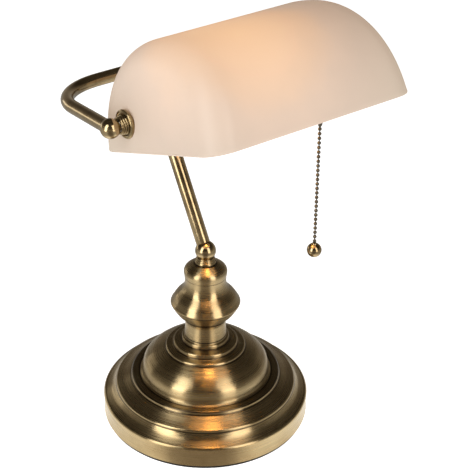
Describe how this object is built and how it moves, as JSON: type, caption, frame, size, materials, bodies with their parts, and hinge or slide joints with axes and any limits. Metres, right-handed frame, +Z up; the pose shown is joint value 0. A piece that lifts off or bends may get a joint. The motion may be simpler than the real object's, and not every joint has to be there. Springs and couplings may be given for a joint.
{
  "type": "desk lamp",
  "caption": "Banker desk lamp with a stepped round brass base, turned column, leaning stem, yoke, tilting opal glass shade and a pull-chain lampholder.",
  "frame": {"origin": "middle of the flat underside of the felt pad, on the axis of the round base", "axes": "+Z up along the column, the shade overhangs towards -Y, +X to the lampholder's end of the shade"},
  "size_m": [0.2322, 0.2372, 0.3967],
  "materials": {
    "antique_brass": "brushed and lacquered antique brass plate with a dark patina",
    "plain_brass": "bare pressed brass contacts",
    "dark_bronze": "dark bronzed bead chain",
    "zinc_steel": "zinc plated steel",
    "bulb_metal": "pressed aluminium screw cap",
    "cast_iron": "rough black cast iron",
    "felt": "black pressed felt",
    "rubber": "matt black rubber",
    "opal_glass": "satin opal white glass, lit from inside",
    "bulb_glass": "frosted opal bulb glass",
    "porcelain": "glazed porcelain",
    "lead_sheath": "brown plastic flex"
  },
  "bodies": {
    "stand": {"felt_pad": "felt", "bottom_plate": "zinc_steel", "base_weight": "cast_iron", "base_shell": "antique_brass", "cord_grommet": "rubber", "threaded_rod": "zinc_steel", "rod_nut": "zinc_steel", "lock_washer": "zinc_steel", "column_neck": "antique_brass", "column_vase": "antique_brass", "column_cap": "antique_brass", "ring_collar": "antique_brass", "stem_ball": "antique_brass", "stem_tube": "antique_brass", "yoke_hub": "antique_brass", "yoke_arm_left": "antique_brass", "yoke_arm_right": "antique_brass", "yoke_ball_left": "antique_brass", "yoke_ball_right": "antique_brass", "nipple_left": "zinc_steel", "nipple_right": "zinc_steel", "spacer_left": "antique_brass", "spacer_right": "antique_brass", "collar_left": "antique_brass", "collar_right": "antique_brass", "gasket_outer_left": "rubber", "gasket_outer_right": "rubber", "gasket_inner_left": "rubber", "gasket_inner_right": "rubber", "washer_left": "zinc_steel", "washer_right": "zinc_steel", "nut_left": "zinc_steel", "nut_right": "zinc_steel", "holder_cap": "antique_brass", "holder_shell": "antique_brass", "switch_block": "porcelain", "holder_insulator": "porcelain", "screw_shell": "plain_brass", "centre_contact": "plain_brass", "bulb_cap": "bulb_metal", "bulb_glass": "bulb_glass", "chain_guide": "antique_brass", "inner_lead": "lead_sheath"},
    "shade": {"shade": "opal_glass"},
    "chain_slider": {"chain_upper": "dark_bronze"},
    "chain_swivel": {"chain_link": "dark_bronze"},
    "hanging_chain": {"lead_chain": "dark_bronze", "chain_bell": "dark_bronze", "pull_chain": "dark_bronze", "chain_ball": "dark_bronze"}
  },
  "joints": [
    {"name": "shade_tilt", "type": "hinge", "parent": "stand", "child": "shade", "pos_m": [0, -0.0263, 0.3224], "axis": [1, 0, 0], "range_deg": [-25, 45]},
    {"name": "chain_pull", "type": "slide", "parent": "stand", "child": "chain_slider", "axis": [0, 0, -1], "range_m": [0, 0.006], "stiffness_N_per_m": 400},
    {"name": "chain_swing_front", "type": "hinge", "parent": "chain_slider", "child": "chain_swivel", "pos_m": [0.0658, -0.0663, 0.3067], "axis": [1, 0, 0], "range_deg": [-20, 20]},
    {"name": "chain_swing_side", "type": "hinge", "parent": "chain_swivel", "child": "hanging_chain", "pos_m": [0.0658, -0.0663, 0.30285], "axis": [0, 1, 0], "range_deg": [-15, 15]}
  ]
}
